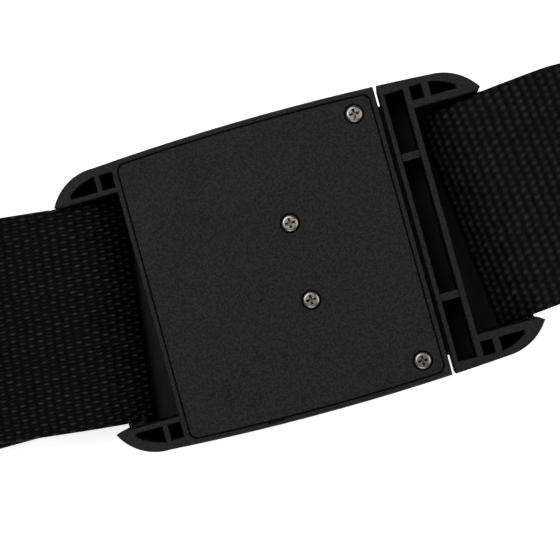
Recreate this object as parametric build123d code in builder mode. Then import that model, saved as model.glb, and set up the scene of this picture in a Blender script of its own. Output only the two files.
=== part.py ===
from build123d import *
from math import sqrt
import os

# Luggage strap, 50 mm webbing with a three-wheel combination buckle. All sizes in millimetres.
#
# Row frame: +X along the strap from the housing to the tongue, +Y across the strap, +Z out of the
# buckle's rear cover, which faces up. The spare webbing is folded under the buckle and stands on z = 0.
# Buckle frame, used by level() and across(): x = 0 is the housing's mouth face, height = 0 its front face.

# ---- buckle: outline in plan --------------------------------------------------------------------
DEPTH = 16.0            # front face to rear face
HALF_WIDTH = 33.6       # at the widest place
WIDEST_X = -28.0
BARREL_R = 560.0        # radius of the long curved sides
FRONT_SKIN = 2.6        # thickness of the front walls
RIM = 1.4               # visible rim round the rear cover
LEDGE = 1.2             # step that the rear cover rests on
COVER = 1.8             # thickness of the rear cover
SEAM = 0.15             # gap round the rear cover
COVER_CORNER_R = 1.8
HOUSING_END_X = -60.7   # wall at the webbing slot
MOUTH_GAP = 0.72        # gap between the housing and the closed tongue
TONGUE_END_X = 7.6      # wall at the tongue's webbing slot

# ---- ears and webbing bars ----------------------------------------------------------------------
SLOT_HALF = 25.7        # half of each webbing slot's length
BAR_W = 4.2             # along the strap
BAR_H = 3.8
BAR_Z = 6.6             # centre height
BAR_R = 1.5
BAR_SET_BACK = 8.0      # slot wall to bar
EAR_PLATE = 2.2         # front plate between the ears
EAR_TIP_W = 1.2         # width of each ear at its tip
FRONT_FILLET = 1.2
REAR_FILLET = 0.45
POCKET_CHAMFER = 0.2
POCKET_SET_BACK = 0.1   # slot wall to the small pocket of an ear
TAPER_MID = (0.62, 0.66)    # shape of the tapered pocket, as shares of its length and width
TAPER_TIP = 0.25

# ---- cover screws -------------------------------------------------------------------------------
CORNER_SCREW = (-5.5, 28.15)
CENTRE_SCREW = (-25.55, 8.77)
SCREW_HEAD_R = 2.0
SCREW_HEAD_H = 1.3
SCREW_SINK = 0.9        # depth of the counterbore
SCREW_R = 0.95
SCREW_LENGTH = 7.0
PILOT_CLEAR = 0.05
POST_R = 2.6
GUIDE_POST_R = 2.2      # the two middle posts also guide the bolt plate

# ---- combination lock ---------------------------------------------------------------------------
WHEEL_X = -40.0
WHEEL_Z = 6.8
WHEEL_R = 6.4
WHEEL_W = 4.6
WHEEL_PITCH = 10.0
WHEEL_COUNT = 3
DIGITS = 10
SPINDLE_R = 1.3
SLEEVE_BORE_R = 1.35
SLEEVE_R = 3.0
WHEEL_BORE_R = 3.06
DOG_ROOT_R = 3.3
DOG_TIP_R = 4.25
DOG_RECESS_R = 4.4
DOG_W = 1.2
DISC_R = 4.0
DISC_W = 0.8
DISC_OFFSET = 1.5       # from the wheel's face to the disc
DOG_LENGTH = 0.8        # round the axis
GROOVE_R = 0.5          # finger groove between two digits
WHEEL_WEB = 1.8         # part of the wheel's width that rides on the sleeve
GATE_X = 1.5            # corner of the gate, from the spindle's axis
GATE_Z = -2.2
LOCK_TRAVEL = 4.0

# ---- bolt, slider and tongue plate --------------------------------------------------------------
BOLT_Z = 3.0
BOLT_T = 1.2
STUD_X = -9.0
STUD_Y = (-15.0, 11.0)  # with the slider open
STUD_R = 2.0
SLIDER_X = -14.0
SLIDER_Y = -2.0         # with the slider open
TONGUE_PLATE_Z = 5.2
TONGUE_PLATE_T = 4.0
TONGUE_PLATE_HALF = 22.0
TONGUE_PLATE_END = -20.5
SHOULDER_HALF = 28.6
FIT = 0.2

# ---- webbing ------------------------------------------------------------------------------------
WEB_W = 50.0
WEB_T = 1.5
WEB_CLEAR = 0.25
RUN_HEIGHT = 13.8       # middle of the webbing where it leaves the ears
LAYERS = 7
LAYER_PITCH = 1.85
BAND_T = 0.8
BAND_W = 40.0
BAND_X = -27.0
STACK_Y = 2.3           # the folded stack lies a little to one side
RUN_Y = 0.4
LEFT_TURN_X = -135.0
SEWN_END_X = -130.0
STACK_RIGHT_X = 80.0
RIGHT_TURN_X = 84.0

# ---- strap adjuster -----------------------------------------------------------------------------
ADJUSTER_X = 67.0
ADJUSTER_LENGTH = 30.0
ADJUSTER_WIDTH = 60.0
ADJUSTER_SLOT_W = 51.6
ADJUSTER_SLOT = 7.5
ADJUSTER_BAR = 5.0
ADJUSTER_T = 3.2
ADJUSTER_HEIGHT = 12.4

# Heights of the folded stack and of the buckle that lies on it, in the row frame.
LOWEST_LAYER = BAND_T + 0.05 + WEB_T / 2
HIGHEST_LAYER = LOWEST_LAYER + (LAYERS - 1) * LAYER_PITCH
Z_FRONT = HIGHEST_LAYER + WEB_T / 2 + 0.05 + BAND_T + 0.3

RIGHT_RUN_HEIGHT = ADJUSTER_HEIGHT - ADJUSTER_T / 2 - WEB_CLEAR - WEB_T / 2
LEFT_TURN_R = (RUN_HEIGHT + Z_FRONT - HIGHEST_LAYER) / 2
RIGHT_TURN_R = (RIGHT_RUN_HEIGHT + Z_FRONT - LOWEST_LAYER) / 2
LEFT_END = LEFT_TURN_X - LEFT_TURN_R - WEB_T / 2
RIGHT_END = RIGHT_TURN_X + RIGHT_TURN_R + WEB_T / 2
X_MOUTH = -(LEFT_END + RIGHT_END) / 2

os.makedirs("parts", exist_ok=True)


def level(height):
    """Horizontal plane at a height above the buckle's front face."""
    return Plane(origin=(X_MOUTH, 0, Z_FRONT + height))


def across(y):
    """Upright plane at y, facing -Y: its sketches have +X to the right and height upwards."""
    return Plane(origin=(X_MOUTH, y, Z_FRONT), x_dir=(1, 0, 0), z_dir=(0, -1, 0))


def save(builder, name):
    """Labels a finished piece and writes it."""
    builder.part.label = name
    export_step(builder.part, f"parts/{name}.step")


def half_width(x, inset=0.0):
    """Half of the buckle's width at x, or of a line drawn inside its curved side."""
    return sqrt((BARREL_R - inset) ** 2 - (x - WIDEST_X) ** 2) - BARREL_R + HALF_WIDTH


def side_arc(x_from, x_to, inset=0.0):
    """The long curved side on +Y, or a line that runs inside it."""
    x_mid = (x_from + x_to) / 2
    points = [(x, half_width(x, inset)) for x in (x_from, x_mid, x_to)]
    return ThreePointArc(*points)


def barrel_plan(x_left, x_right, inset, corner_r):
    """Four-sided plan with curved long sides and rounded corners."""
    with BuildLine() as outline:
        side = side_arc(x_left, x_right, inset)
        Line(side @ 1, (x_right, 0))
        Line((x_left, 0), side @ 0)
        mirror(about=Plane.XZ)
    plan = make_face(outline.edges())
    fillet(plan.vertices().filter_by(lambda v: abs(v.Y) > 1), corner_r)


def body_plan(x_face, x_root, x_mid, x_tip, mid_y, tip_y, x_wall=None):
    """Plan of one half of the buckle with its two ears; a wall x leaves the slot between them open."""
    direction = 1 if x_tip > x_face else -1
    with BuildLine() as outline:
        side = side_arc(x_face, x_root)
        ear = ThreePointArc(side @ 1, (x_mid, mid_y), (x_tip, tip_y))
        inner = (x_tip - direction * EAR_TIP_W, SLOT_HALF)
        Line(ear @ 1, inner)
        if x_wall is None:
            Line(inner, (inner[0] - direction * 1.5, 0))
        else:
            Line(inner, (x_wall, SLOT_HALF))
            Line((x_wall, SLOT_HALF), (x_wall, 0))
        Line((x_face, 0), side @ 0)
        mirror(about=Plane.XZ)
    make_face(outline.edges())


def ear_pockets(x_wall, x_small, x_rib, x_tip, reach):
    """Two hollow pockets in each ear: a small one beside the body and a tapered one at the tip."""
    small_mid = (x_wall + x_small) / 2
    for y_sign in (1, -1):
        y_in = y_sign * reach[0]
        y_out = y_sign * reach[1]
        with BuildSketch(level(FRONT_SKIN)) as pockets:
            with Locations((small_mid, (y_in + y_out) / 2)):
                Rectangle(abs(x_wall - x_small), reach[1] - reach[0])
            with BuildLine():
                Line((x_rib, y_in), (x_rib, y_out))
                curve = ThreePointArc(
                    (x_rib, y_out),
                    (x_rib + (x_tip - x_rib) * TAPER_MID[0], y_in + TAPER_MID[1] * (y_out - y_in)),
                    (x_tip, y_in + TAPER_TIP * (y_out - y_in)),
                )
                Line(curve @ 1, (x_tip, y_in))
                Line((x_tip, y_in), (x_rib, y_in))
            make_face()
        extrude(pockets.sketch, amount=DEPTH, mode=Mode.SUBTRACT)


def bar(x_centre):
    """Moulded bar between the ears that the webbing turns round."""
    with BuildSketch(across(SLOT_HALF + 1)) as section:
        with Locations((x_centre, BAR_Z)):
            RectangleRounded(BAR_W, BAR_H, BAR_R)
    extrude(section.sketch, amount=2 * (SLOT_HALF + 1))


def post(x, y, radius, top):
    """Screw post on the front wall."""
    with BuildSketch(level(FRONT_SKIN - 0.1)) as section:
        with Locations((x, y)):
            Circle(radius)
    extrude(section.sketch, amount=top - FRONT_SKIN + 0.1)


def blind_hole(x, y, radius, top, bottom):
    """Round hole from one height down to another."""
    with BuildSketch(level(bottom)) as section:
        with Locations((x, y)):
            Circle(radius)
    extrude(section.sketch, amount=top - bottom, mode=Mode.SUBTRACT)


# ---- housing: front shell -----------------------------------------------------------------------
EAR_ROOT_X = -64.5
EAR_TIP = (-75.3, 26.1)
EAR_MID = (-71.2, 30.6)
EAR_POCKET = (27.0, 30.4)
EAR_POCKET_X = (-63.6, -64.9, -70.9)    # end of the small pocket, start and tip of the tapered one
CAVITY_LEFT = HOUSING_END_X + RIM
CAVITY_RIGHT = -RIM
BAR_X = HOUSING_END_X - BAR_SET_BACK - BAR_W / 2
COVER_SEAT = DEPTH - COVER
DIAL_BAY = 1.4          # depth of the recess round the wheels
RESET_BUTTON_R = 2.0
HOOK_Y = (18.0, -2.0, -19.0)
HOOK_W = 3.0
SPINDLE_RIBS = ((-16.0, -14.4), (24.0, 25.6))
SPINDLE_RIB_W = 7.0
SPINDLE_RIB_TOP = WHEEL_Z + 4
LEAF_POST_X = -52.5
LEAF_POST_Y = 6.0
LEAF_Z = 11.6
LEAF_SCREW_R = 0.8
LEAF_SCREW_LENGTH = 4.0
RAIL = (19.0, 1.2, 7.0)     # rails beside the tongue plate: length, width, height
RAIL_X = -12.5
RAIL_Y = TONGUE_PLATE_HALF + 1.0
DIAL_PLAN = (16.0, 2 * WHEEL_PITCH + WHEEL_W + 6, 2.0)
SLIDER_PLAN = (10.6, 16.0, 1.5)
STEM_SLOT = (4.5, 4 + LOCK_TRAVEL + 0.6)
MOUTH = (2 * (SHOULDER_HALF + FIT), 9.2 + 2 * FIT)
MOUTH_Z = 8.0
MOUTH_DEPTH = 3.0
HOOK_DROP = 2.0             # height of the hooks' windows
WINDOW_X = HOUSING_END_X + 1.9
PRY_NOTCH = (3.8, 1.3, 1.2)     # length, width, depth
PRY_NOTCH_X = -40.1
WHEEL_Y = [(k - 1) * WHEEL_PITCH for k in range(WHEEL_COUNT)]
wheel_half_chord = sqrt(WHEEL_R**2 - (WHEEL_Z - FRONT_SKIN) ** 2)

with BuildPart() as front_shell:
    with BuildSketch(level(0)):
        body_plan(0, EAR_ROOT_X, EAR_MID[0], EAR_TIP[0], EAR_MID[1], EAR_TIP[1])
    extrude(amount=EAR_PLATE)
    with BuildSketch(level(EAR_PLATE)):
        body_plan(0, EAR_ROOT_X, EAR_MID[0], EAR_TIP[0], EAR_MID[1], EAR_TIP[1], HOUSING_END_X)
    extrude(amount=DEPTH - EAR_PLATE)
    fillet(front_shell.faces().sort_by(Axis.Z)[0].outer_wire().edges(), FRONT_FILLET)
    fillet(front_shell.faces().sort_by(Axis.Z)[-1].outer_wire().edges(), REAR_FILLET)
    # seat of the rear cover, and the cavity below it
    with BuildSketch(level(COVER_SEAT)):
        barrel_plan(CAVITY_LEFT - SEAM, CAVITY_RIGHT + SEAM, RIM - SEAM, COVER_CORNER_R)
    extrude(amount=COVER, mode=Mode.SUBTRACT)
    with BuildSketch(level(FRONT_SKIN)):
        barrel_plan(CAVITY_LEFT + LEDGE, CAVITY_RIGHT - LEDGE, RIM + LEDGE, COVER_CORNER_R)
    extrude(amount=COVER_SEAT - FRONT_SKIN, mode=Mode.SUBTRACT)
    ear_pockets(HOUSING_END_X - POCKET_SET_BACK, *EAR_POCKET_X, EAR_POCKET)
    chamfer(front_shell.faces().sort_by(Axis.Z)[-1].inner_wires().edges(), POCKET_CHAMFER)
    bar(BAR_X)
    # posts for the cover screws and the leaf spring
    for y_sign in (1, -1):
        post(CORNER_SCREW[0], y_sign * CORNER_SCREW[1], POST_R, COVER_SEAT)
        post(CENTRE_SCREW[0], y_sign * CENTRE_SCREW[1], GUIDE_POST_R, COVER_SEAT)
        post(LEAF_POST_X, y_sign * LEAF_POST_Y, GUIDE_POST_R, LEAF_Z)
        for x, y in (CORNER_SCREW, CENTRE_SCREW):
            blind_hole(x, y_sign * y, SCREW_R + PILOT_CLEAR, COVER_SEAT, COVER_SEAT - SCREW_LENGTH)
        leaf_pilot = LEAF_SCREW_R + PILOT_CLEAR
        blind_hole(LEAF_POST_X, y_sign * LEAF_POST_Y, leaf_pilot, LEAF_Z, LEAF_Z - LEAF_SCREW_LENGTH)
    # rails that guide the tongue plate
    for y_sign in (1, -1):
        with BuildSketch(level(FRONT_SKIN - 0.1)):
            with Locations((RAIL_X, y_sign * RAIL_Y)):
                Rectangle(RAIL[0], RAIL[1])
        extrude(amount=RAIL[2])
    # ribs that carry the wheel spindle
    for y_low, y_high in SPINDLE_RIBS:
        with BuildSketch(across(y_high)):
            with Locations((WHEEL_X, (FRONT_SKIN + SPINDLE_RIB_TOP) / 2 - 1)):
                Rectangle(SPINDLE_RIB_W, SPINDLE_RIB_TOP - FRONT_SKIN)
        extrude(amount=y_high - y_low)
        with BuildSketch(across(y_high)):
            with Locations((WHEEL_X, WHEEL_Z)):
                Circle(SLEEVE_BORE_R)
        extrude(amount=y_high - y_low, mode=Mode.SUBTRACT)
    # hole for the reset button in the -Y side
    with BuildSketch(across(-HALF_WIDTH + 4)):
        with Locations((WHEEL_X, WHEEL_Z)):
            Circle(RESET_BUTTON_R + 0.1)
    extrude(amount=5, mode=Mode.SUBTRACT)
    # dial bay and its three windows
    with BuildSketch(level(0)):
        with Locations((WHEEL_X, 0)):
            RectangleRounded(*DIAL_PLAN)
    extrude(amount=DIAL_BAY, mode=Mode.SUBTRACT)
    with BuildSketch(level(0)):
        with Locations(*[(WHEEL_X, y) for y in WHEEL_Y]):
            Rectangle(2 * wheel_half_chord + 1, WHEEL_W + 2 * FIT + 0.1)
    extrude(amount=FRONT_SKIN, mode=Mode.SUBTRACT)
    # recess of the lock slider, and the slot of its stem
    with BuildSketch(level(0)):
        with Locations((SLIDER_X, 0)):
            RectangleRounded(*SLIDER_PLAN)
    extrude(amount=DIAL_BAY, mode=Mode.SUBTRACT)
    with BuildSketch(level(0)):
        with Locations((SLIDER_X, 0)):
            Rectangle(*STEM_SLOT)
    extrude(amount=FRONT_SKIN, mode=Mode.SUBTRACT)
    # mouth for the tongue
    with BuildSketch(Plane(origin=(X_MOUTH + 1, 0, Z_FRONT), x_dir=(0, 1, 0), z_dir=(1, 0, 0))):
        with Locations((0, MOUTH_Z)):
            Rectangle(*MOUTH)
    extrude(amount=-MOUTH_DEPTH - 1, mode=Mode.SUBTRACT)
    # windows for the cover's hooks, and the notch for prising the cover off
    with BuildSketch(level(COVER_SEAT - HOOK_DROP)):
        with Locations(*[(WINDOW_X, y) for y in HOOK_Y]):
            Rectangle(2.2, HOOK_W + 0.6)
    extrude(amount=HOOK_DROP + 0.1, mode=Mode.SUBTRACT)
    with BuildSketch(level(DEPTH - PRY_NOTCH[2])):
        with Locations((PRY_NOTCH_X, -half_width(PRY_NOTCH_X) + RIM)):
            Rectangle(PRY_NOTCH[0], PRY_NOTCH[1])
    extrude(amount=PRY_NOTCH[2] + 0.1, mode=Mode.SUBTRACT)
save(front_shell, "front_shell")

# ---- housing: rear cover and screws -------------------------------------------------------------
with BuildPart() as rear_cover:
    with BuildSketch(level(COVER_SEAT)):
        barrel_plan(CAVITY_LEFT, CAVITY_RIGHT, RIM, COVER_CORNER_R)
    extrude(amount=COVER)
    fillet(rear_cover.faces().sort_by(Axis.Z)[-1].outer_wire().edges(), 0.25)
    # hooks that catch under the rim at the webbing end
    with BuildSketch(level(COVER_SEAT - 1.6)):
        with Locations(*[(HOUSING_END_X + 2.4, y) for y in HOOK_Y]):
            Rectangle(1.0, HOOK_W)
    extrude(amount=1.7)
    with BuildSketch(level(COVER_SEAT - 1.6)):
        with Locations(*[(HOUSING_END_X + 1.9, y) for y in HOOK_Y]):
            Rectangle(1.8, HOOK_W)
    extrude(amount=1.0)
    for y_sign in (1, -1):
        for x, y in (CORNER_SCREW, CENTRE_SCREW):
            blind_hole(x, y_sign * y, SCREW_R + 0.25, DEPTH, COVER_SEAT)
            blind_hole(x, y_sign * y, SCREW_HEAD_R + 0.25, DEPTH, DEPTH - SCREW_SINK)
save(rear_cover, "rear_cover")


# Screw heads, as shares of the head's radius or height.
HEAD_ROUNDING = 0.55
CROSS_SPAN = 1.1
CROSS_WING = 0.28
CROSS_FLOOR = 0.4


def pan_screw(x, y, seat, head_r, head_h, shank_r, length):
    """Cross-head screw, head up, standing on a seat."""
    with BuildSketch(level(seat)) as head:
        with Locations((x, y)):
            Circle(head_r)
    extrude(head.sketch, amount=head_h)
    top_circles = edges().filter_by(GeomType.CIRCLE).group_by(Axis.Z)[-1]
    rim = [e for e in top_circles if abs(e.arc_center.Y - y) < 0.1]
    fillet(rim, head_h * HEAD_ROUNDING)
    with BuildSketch(level(seat + head_h * CROSS_FLOOR)) as cross:
        with Locations((x, y)):
            Rectangle(head_r * CROSS_SPAN, head_r * CROSS_WING)
            Rectangle(head_r * CROSS_WING, head_r * CROSS_SPAN)
    extrude(cross.sketch, amount=head_h, mode=Mode.SUBTRACT)
    with BuildSketch(level(seat - length)) as shank:
        with Locations((x, y)):
            Circle(shank_r)
    extrude(shank.sketch, amount=length)


def cover_screw_pair(x, y):
    """Two cover screws, one each side of the strap's middle line."""
    for y_sign in (1, -1):
        pan_screw(x, y_sign * y, DEPTH - SCREW_SINK, SCREW_HEAD_R, SCREW_HEAD_H, SCREW_R, SCREW_LENGTH)


with BuildPart() as cover_corner_screws:
    cover_screw_pair(*CORNER_SCREW)
save(cover_corner_screws, "cover_corner_screws")

with BuildPart() as cover_centre_screws:
    cover_screw_pair(*CENTRE_SCREW)
save(cover_centre_screws, "cover_centre_screws")


# ---- combination lock: wheels, sleeves, spindle -------------------------------------------------
def ring(y_low, y_high, outer, inner):
    """Ring about the spindle's axis."""
    with BuildSketch(across(y_high)) as section:
        with Locations((WHEEL_X, WHEEL_Z)):
            Circle(outer)
            if inner:
                Circle(inner, mode=Mode.SUBTRACT)
    extrude(section.sketch, amount=y_high - y_low)


def dogs(y_low, y_high, radius_in, radius_out, width, start):
    """Ring of ten drive teeth about the spindle's axis."""
    radius_mid = (radius_in + radius_out) / 2
    with BuildSketch(across(y_high)) as teeth:
        with Locations((WHEEL_X, WHEEL_Z)):
            with PolarLocations(radius_mid, DIGITS, start_angle=start):
                Rectangle(radius_out - radius_in, width)
    extrude(teeth.sketch, amount=y_high - y_low)


def number_wheel(y):
    """Number wheel with ten finger grooves, a plain bore and ten inner teeth."""
    low = y - WHEEL_W / 2
    high = y + WHEEL_W / 2
    with BuildPart() as wheel:
        ring(low, high, WHEEL_R, DOG_RECESS_R)
        ring(high - WHEEL_WEB, high, DOG_RECESS_R + 0.1, WHEEL_BORE_R)
        dogs(low, low + DOG_W, DOG_ROOT_R, DOG_RECESS_R + 0.2, DOG_LENGTH, 0)
        with BuildSketch(across(high)):
            with Locations((WHEEL_X, WHEEL_Z)):
                with PolarLocations(WHEEL_R + 0.1, DIGITS):
                    Circle(GROOVE_R)
        extrude(amount=WHEEL_W, mode=Mode.SUBTRACT)
    return wheel


def wheel_sleeve(y):
    """Sleeve that sets a wheel's code: drive teeth, a tube and a disc with one gate."""
    low = y - WHEEL_W / 2
    disc_low = y + WHEEL_W / 2 + DISC_OFFSET
    with BuildPart() as sleeve:
        ring(low, low + WHEEL_PITCH - 0.1, SLEEVE_R, SLEEVE_BORE_R)
        dogs(low, low + DOG_W, SLEEVE_R - 0.2, DOG_TIP_R, DOG_LENGTH, 180 / DIGITS)
        ring(disc_low, disc_low + DISC_W, DISC_R, SLEEVE_R - 0.1)
        with BuildSketch(across(disc_low + DISC_W)):
            with Locations((WHEEL_X + GATE_X + 3, WHEEL_Z + GATE_Z - 3)):
                Rectangle(6, 6)
            with Locations((WHEEL_X, WHEEL_Z)):
                Circle(SLEEVE_R, mode=Mode.SUBTRACT)
        extrude(amount=DISC_W, mode=Mode.SUBTRACT)
    return sleeve


for number, y_wheel in enumerate(WHEEL_Y, start=1):
    save(number_wheel(y_wheel), f"number_wheel_{number}")
    save(wheel_sleeve(y_wheel), f"wheel_sleeve_{number}")

SLEEVES_LOW = WHEEL_Y[0] - WHEEL_W / 2
SLEEVES_HIGH = WHEEL_Y[-1] - WHEEL_W / 2 + WHEEL_PITCH - 0.1
SPINDLE_LOW = -30.5
SPINDLE_HIGH = 26.5
CLIP_T = 0.8
CLIP_R = 2.6

with BuildPart() as reset_spindle:
    ring(SPINDLE_LOW, SPINDLE_HIGH, SPINDLE_R, 0)
save(reset_spindle, "reset_spindle")

with BuildPart() as spindle_clips:
    ring(SLEEVES_LOW - 0.1 - CLIP_T, SLEEVES_LOW - 0.1, CLIP_R, SPINDLE_R)
    ring(SLEEVES_HIGH + 0.1, SLEEVES_HIGH + 0.1 + CLIP_T, CLIP_R, SPINDLE_R)
save(spindle_clips, "spindle_clips")

BUTTON_FACE = -33.1
BUTTON_BACK = -28.0

with BuildPart() as reset_button:
    ring(BUTTON_FACE, BUTTON_BACK, RESET_BUTTON_R, 0)
    with BuildSketch(across(BUTTON_BACK)):
        with Locations((WHEEL_X, WHEEL_Z)):
            Circle(SPINDLE_R)
    extrude(amount=BUTTON_BACK - SPINDLE_LOW, mode=Mode.SUBTRACT)
save(reset_button, "reset_button")

SPRING_R = 1.95
SPRING_WIRE_R = 0.22
SPRING_GAP = 0.3
SPRING_LOW = SLEEVES_HIGH + 0.1 + CLIP_T + SPRING_GAP
SPRING_HIGH = SPINDLE_RIBS[1][0] - SPRING_GAP

with BuildPart() as spindle_spring:
    with BuildLine():
        coil = Helix(
            pitch=1.2,
            height=SPRING_HIGH - SPRING_LOW,
            radius=SPRING_R,
            center=(X_MOUTH + WHEEL_X, SPRING_LOW, Z_FRONT + WHEEL_Z),
            direction=(0, 1, 0),
        )
    with BuildSketch(Plane(origin=coil @ 0, z_dir=coil % 0)):
        Circle(SPRING_WIRE_R)
    sweep()
save(spindle_spring, "spindle_spring")

LEAF_T = 0.3
LEAF_W = 5.0
LEAF_FINGER_W = 3.0
LEAF_TIP_X = -44.7
LEAF_HEAD = (1.6, 0.9)      # screw head: radius, height

with BuildPart() as detent_spring:
    with BuildSketch(level(LEAF_Z)):
        with Locations((LEAF_POST_X, 0)):
            RectangleRounded(LEAF_W, 2 * WHEEL_PITCH + 8, 0.8)
        finger_x = (LEAF_POST_X + LEAF_TIP_X) / 2
        with Locations(*[(finger_x, y) for y in WHEEL_Y]):
            Rectangle(LEAF_TIP_X - LEAF_POST_X, LEAF_FINGER_W)
        with Locations((LEAF_POST_X, LEAF_POST_Y), (LEAF_POST_X, -LEAF_POST_Y)):
            Circle(1.0, mode=Mode.SUBTRACT)
    extrude(amount=LEAF_T)
save(detent_spring, "detent_spring")

with BuildPart() as detent_spring_screws:
    for y_sign in (1, -1):
        y_screw = y_sign * LEAF_POST_Y
        pan_screw(LEAF_POST_X, y_screw, LEAF_Z + LEAF_T, *LEAF_HEAD, LEAF_SCREW_R, LEAF_SCREW_LENGTH)
save(detent_spring_screws, "detent_spring_screws")

# ---- bolt plate with its studs, and the slider that moves it ------------------------------------
BOLT_LEFT = -31.0
BOLT_RIGHT = -6.0
BOLT_LOW = -19.0
BOLT_HIGH = 17.0
FINGER_W = 0.8
FINGER_TIP_X = WHEEL_X + GATE_X + 0.4
STUD_TOP = 9.8
STUD_SPIGOT_R = 1.2
SLIDER_STEM = 4.0

with BuildPart() as bolt_plate:
    with BuildSketch(level(BOLT_Z)):
        with Locations(((BOLT_LEFT + BOLT_RIGHT) / 2, (BOLT_LOW + BOLT_HIGH) / 2)):
            RectangleRounded(BOLT_RIGHT - BOLT_LEFT, BOLT_HIGH - BOLT_LOW, 1.5)
        # fingers that pass through the gates of the sleeves
        finger_offset = WHEEL_W / 2 + 0.3 + FINGER_W / 2
        with Locations(*[((FINGER_TIP_X + BOLT_LEFT) / 2 + 1, y + finger_offset) for y in WHEEL_Y]):
            Rectangle(BOLT_LEFT - FINGER_TIP_X + 2, FINGER_W)
        # slots that run on the two middle posts
        slot_w = 2 * (GUIDE_POST_R + 0.25)
        slot_x, post_y = CENTRE_SCREW
        with Locations(*[(slot_x, y - LOCK_TRAVEL / 2) for y in (post_y, -post_y)]):
            SlotOverall(slot_w + LOCK_TRAVEL, slot_w, rotation=90, mode=Mode.SUBTRACT)
        with Locations(*[(STUD_X, y) for y in STUD_Y]):
            Circle(STUD_SPIGOT_R + 0.05, mode=Mode.SUBTRACT)
        with Locations((SLIDER_X, SLIDER_Y)):
            Circle(SCREW_R + 0.1, mode=Mode.SUBTRACT)
    extrude(amount=BOLT_T)
save(bolt_plate, "bolt_plate")

with BuildPart() as bolt_studs:
    with BuildSketch(level(BOLT_Z + BOLT_T)):
        with Locations(*[(STUD_X, y) for y in STUD_Y]):
            Circle(STUD_R)
    extrude(amount=STUD_TOP - BOLT_Z - BOLT_T)
    chamfer(bolt_studs.faces().group_by(Axis.Z)[-1].edges(), 0.4)
    with BuildSketch(level(BOLT_Z)):
        with Locations(*[(STUD_X, y) for y in STUD_Y]):
            Circle(STUD_SPIGOT_R)
    extrude(amount=BOLT_T)
save(bolt_studs, "bolt_studs")

SLIDER_CAP = (10.0, 11.0)
SLIDER_CAP_Z = 0.1
SLIDER_CAP_TOP = DIAL_BAY - 0.15
SLIDER_RIBS = 5
SLIDER_RIB_PITCH = 1.8
SLIDER_HEAD_H = 0.8
SLIDER_SCREW_LENGTH = 2.8

with BuildPart() as lock_slider:
    with BuildSketch(level(SLIDER_CAP_Z)):
        with Locations((SLIDER_X, SLIDER_Y)):
            RectangleRounded(*SLIDER_CAP, 1.2)
    extrude(amount=SLIDER_CAP_TOP - SLIDER_CAP_Z)
    with BuildSketch(level(SLIDER_CAP_Z)):
        with Locations((SLIDER_X, SLIDER_Y)):
            with GridLocations(0, SLIDER_RIB_PITCH, 1, SLIDER_RIBS):
                Rectangle(SLIDER_CAP[0] - 2, 0.7)
    extrude(amount=0.45, mode=Mode.SUBTRACT)
    with BuildSketch(level(SLIDER_CAP_TOP)):
        with Locations((SLIDER_X, SLIDER_Y)):
            Rectangle(SLIDER_STEM, SLIDER_STEM)
    extrude(amount=BOLT_Z - SLIDER_CAP_TOP)
    blind_hole(SLIDER_X, SLIDER_Y, SCREW_R + PILOT_CLEAR, BOLT_Z, SLIDER_CAP_TOP)
save(lock_slider, "lock_slider")

with BuildPart() as slider_screw:
    pan_screw(SLIDER_X, SLIDER_Y, BOLT_Z + BOLT_T, SCREW_HEAD_R, SLIDER_HEAD_H, SCREW_R, SLIDER_SCREW_LENGTH)
save(slider_screw, "slider_screw")

# ---- tongue -------------------------------------------------------------------------------------
TONGUE_ROOT_X = 14.0
TONGUE_TIP = (22.7, 26.5)
TONGUE_MID = (19.2, 30.1)
TONGUE_BAR_X = TONGUE_END_X + BAR_SET_BACK + BAR_W / 2
POCKET_LEFT = 2.0
POCKET_RIGHT = 6.1
MID_POCKET_HALF = 15.1
OUTER_POCKET = (16.8, 30.4)
TONGUE_POCKET = (27.6, 30.6)
TONGUE_POCKET_X = (10.3, 12.0, 17.5)
RIB_DROP = 0.5
SHOULDER_Z = (3.4, 12.6)
SHOULDER_DEPTH = 1.2

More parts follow.
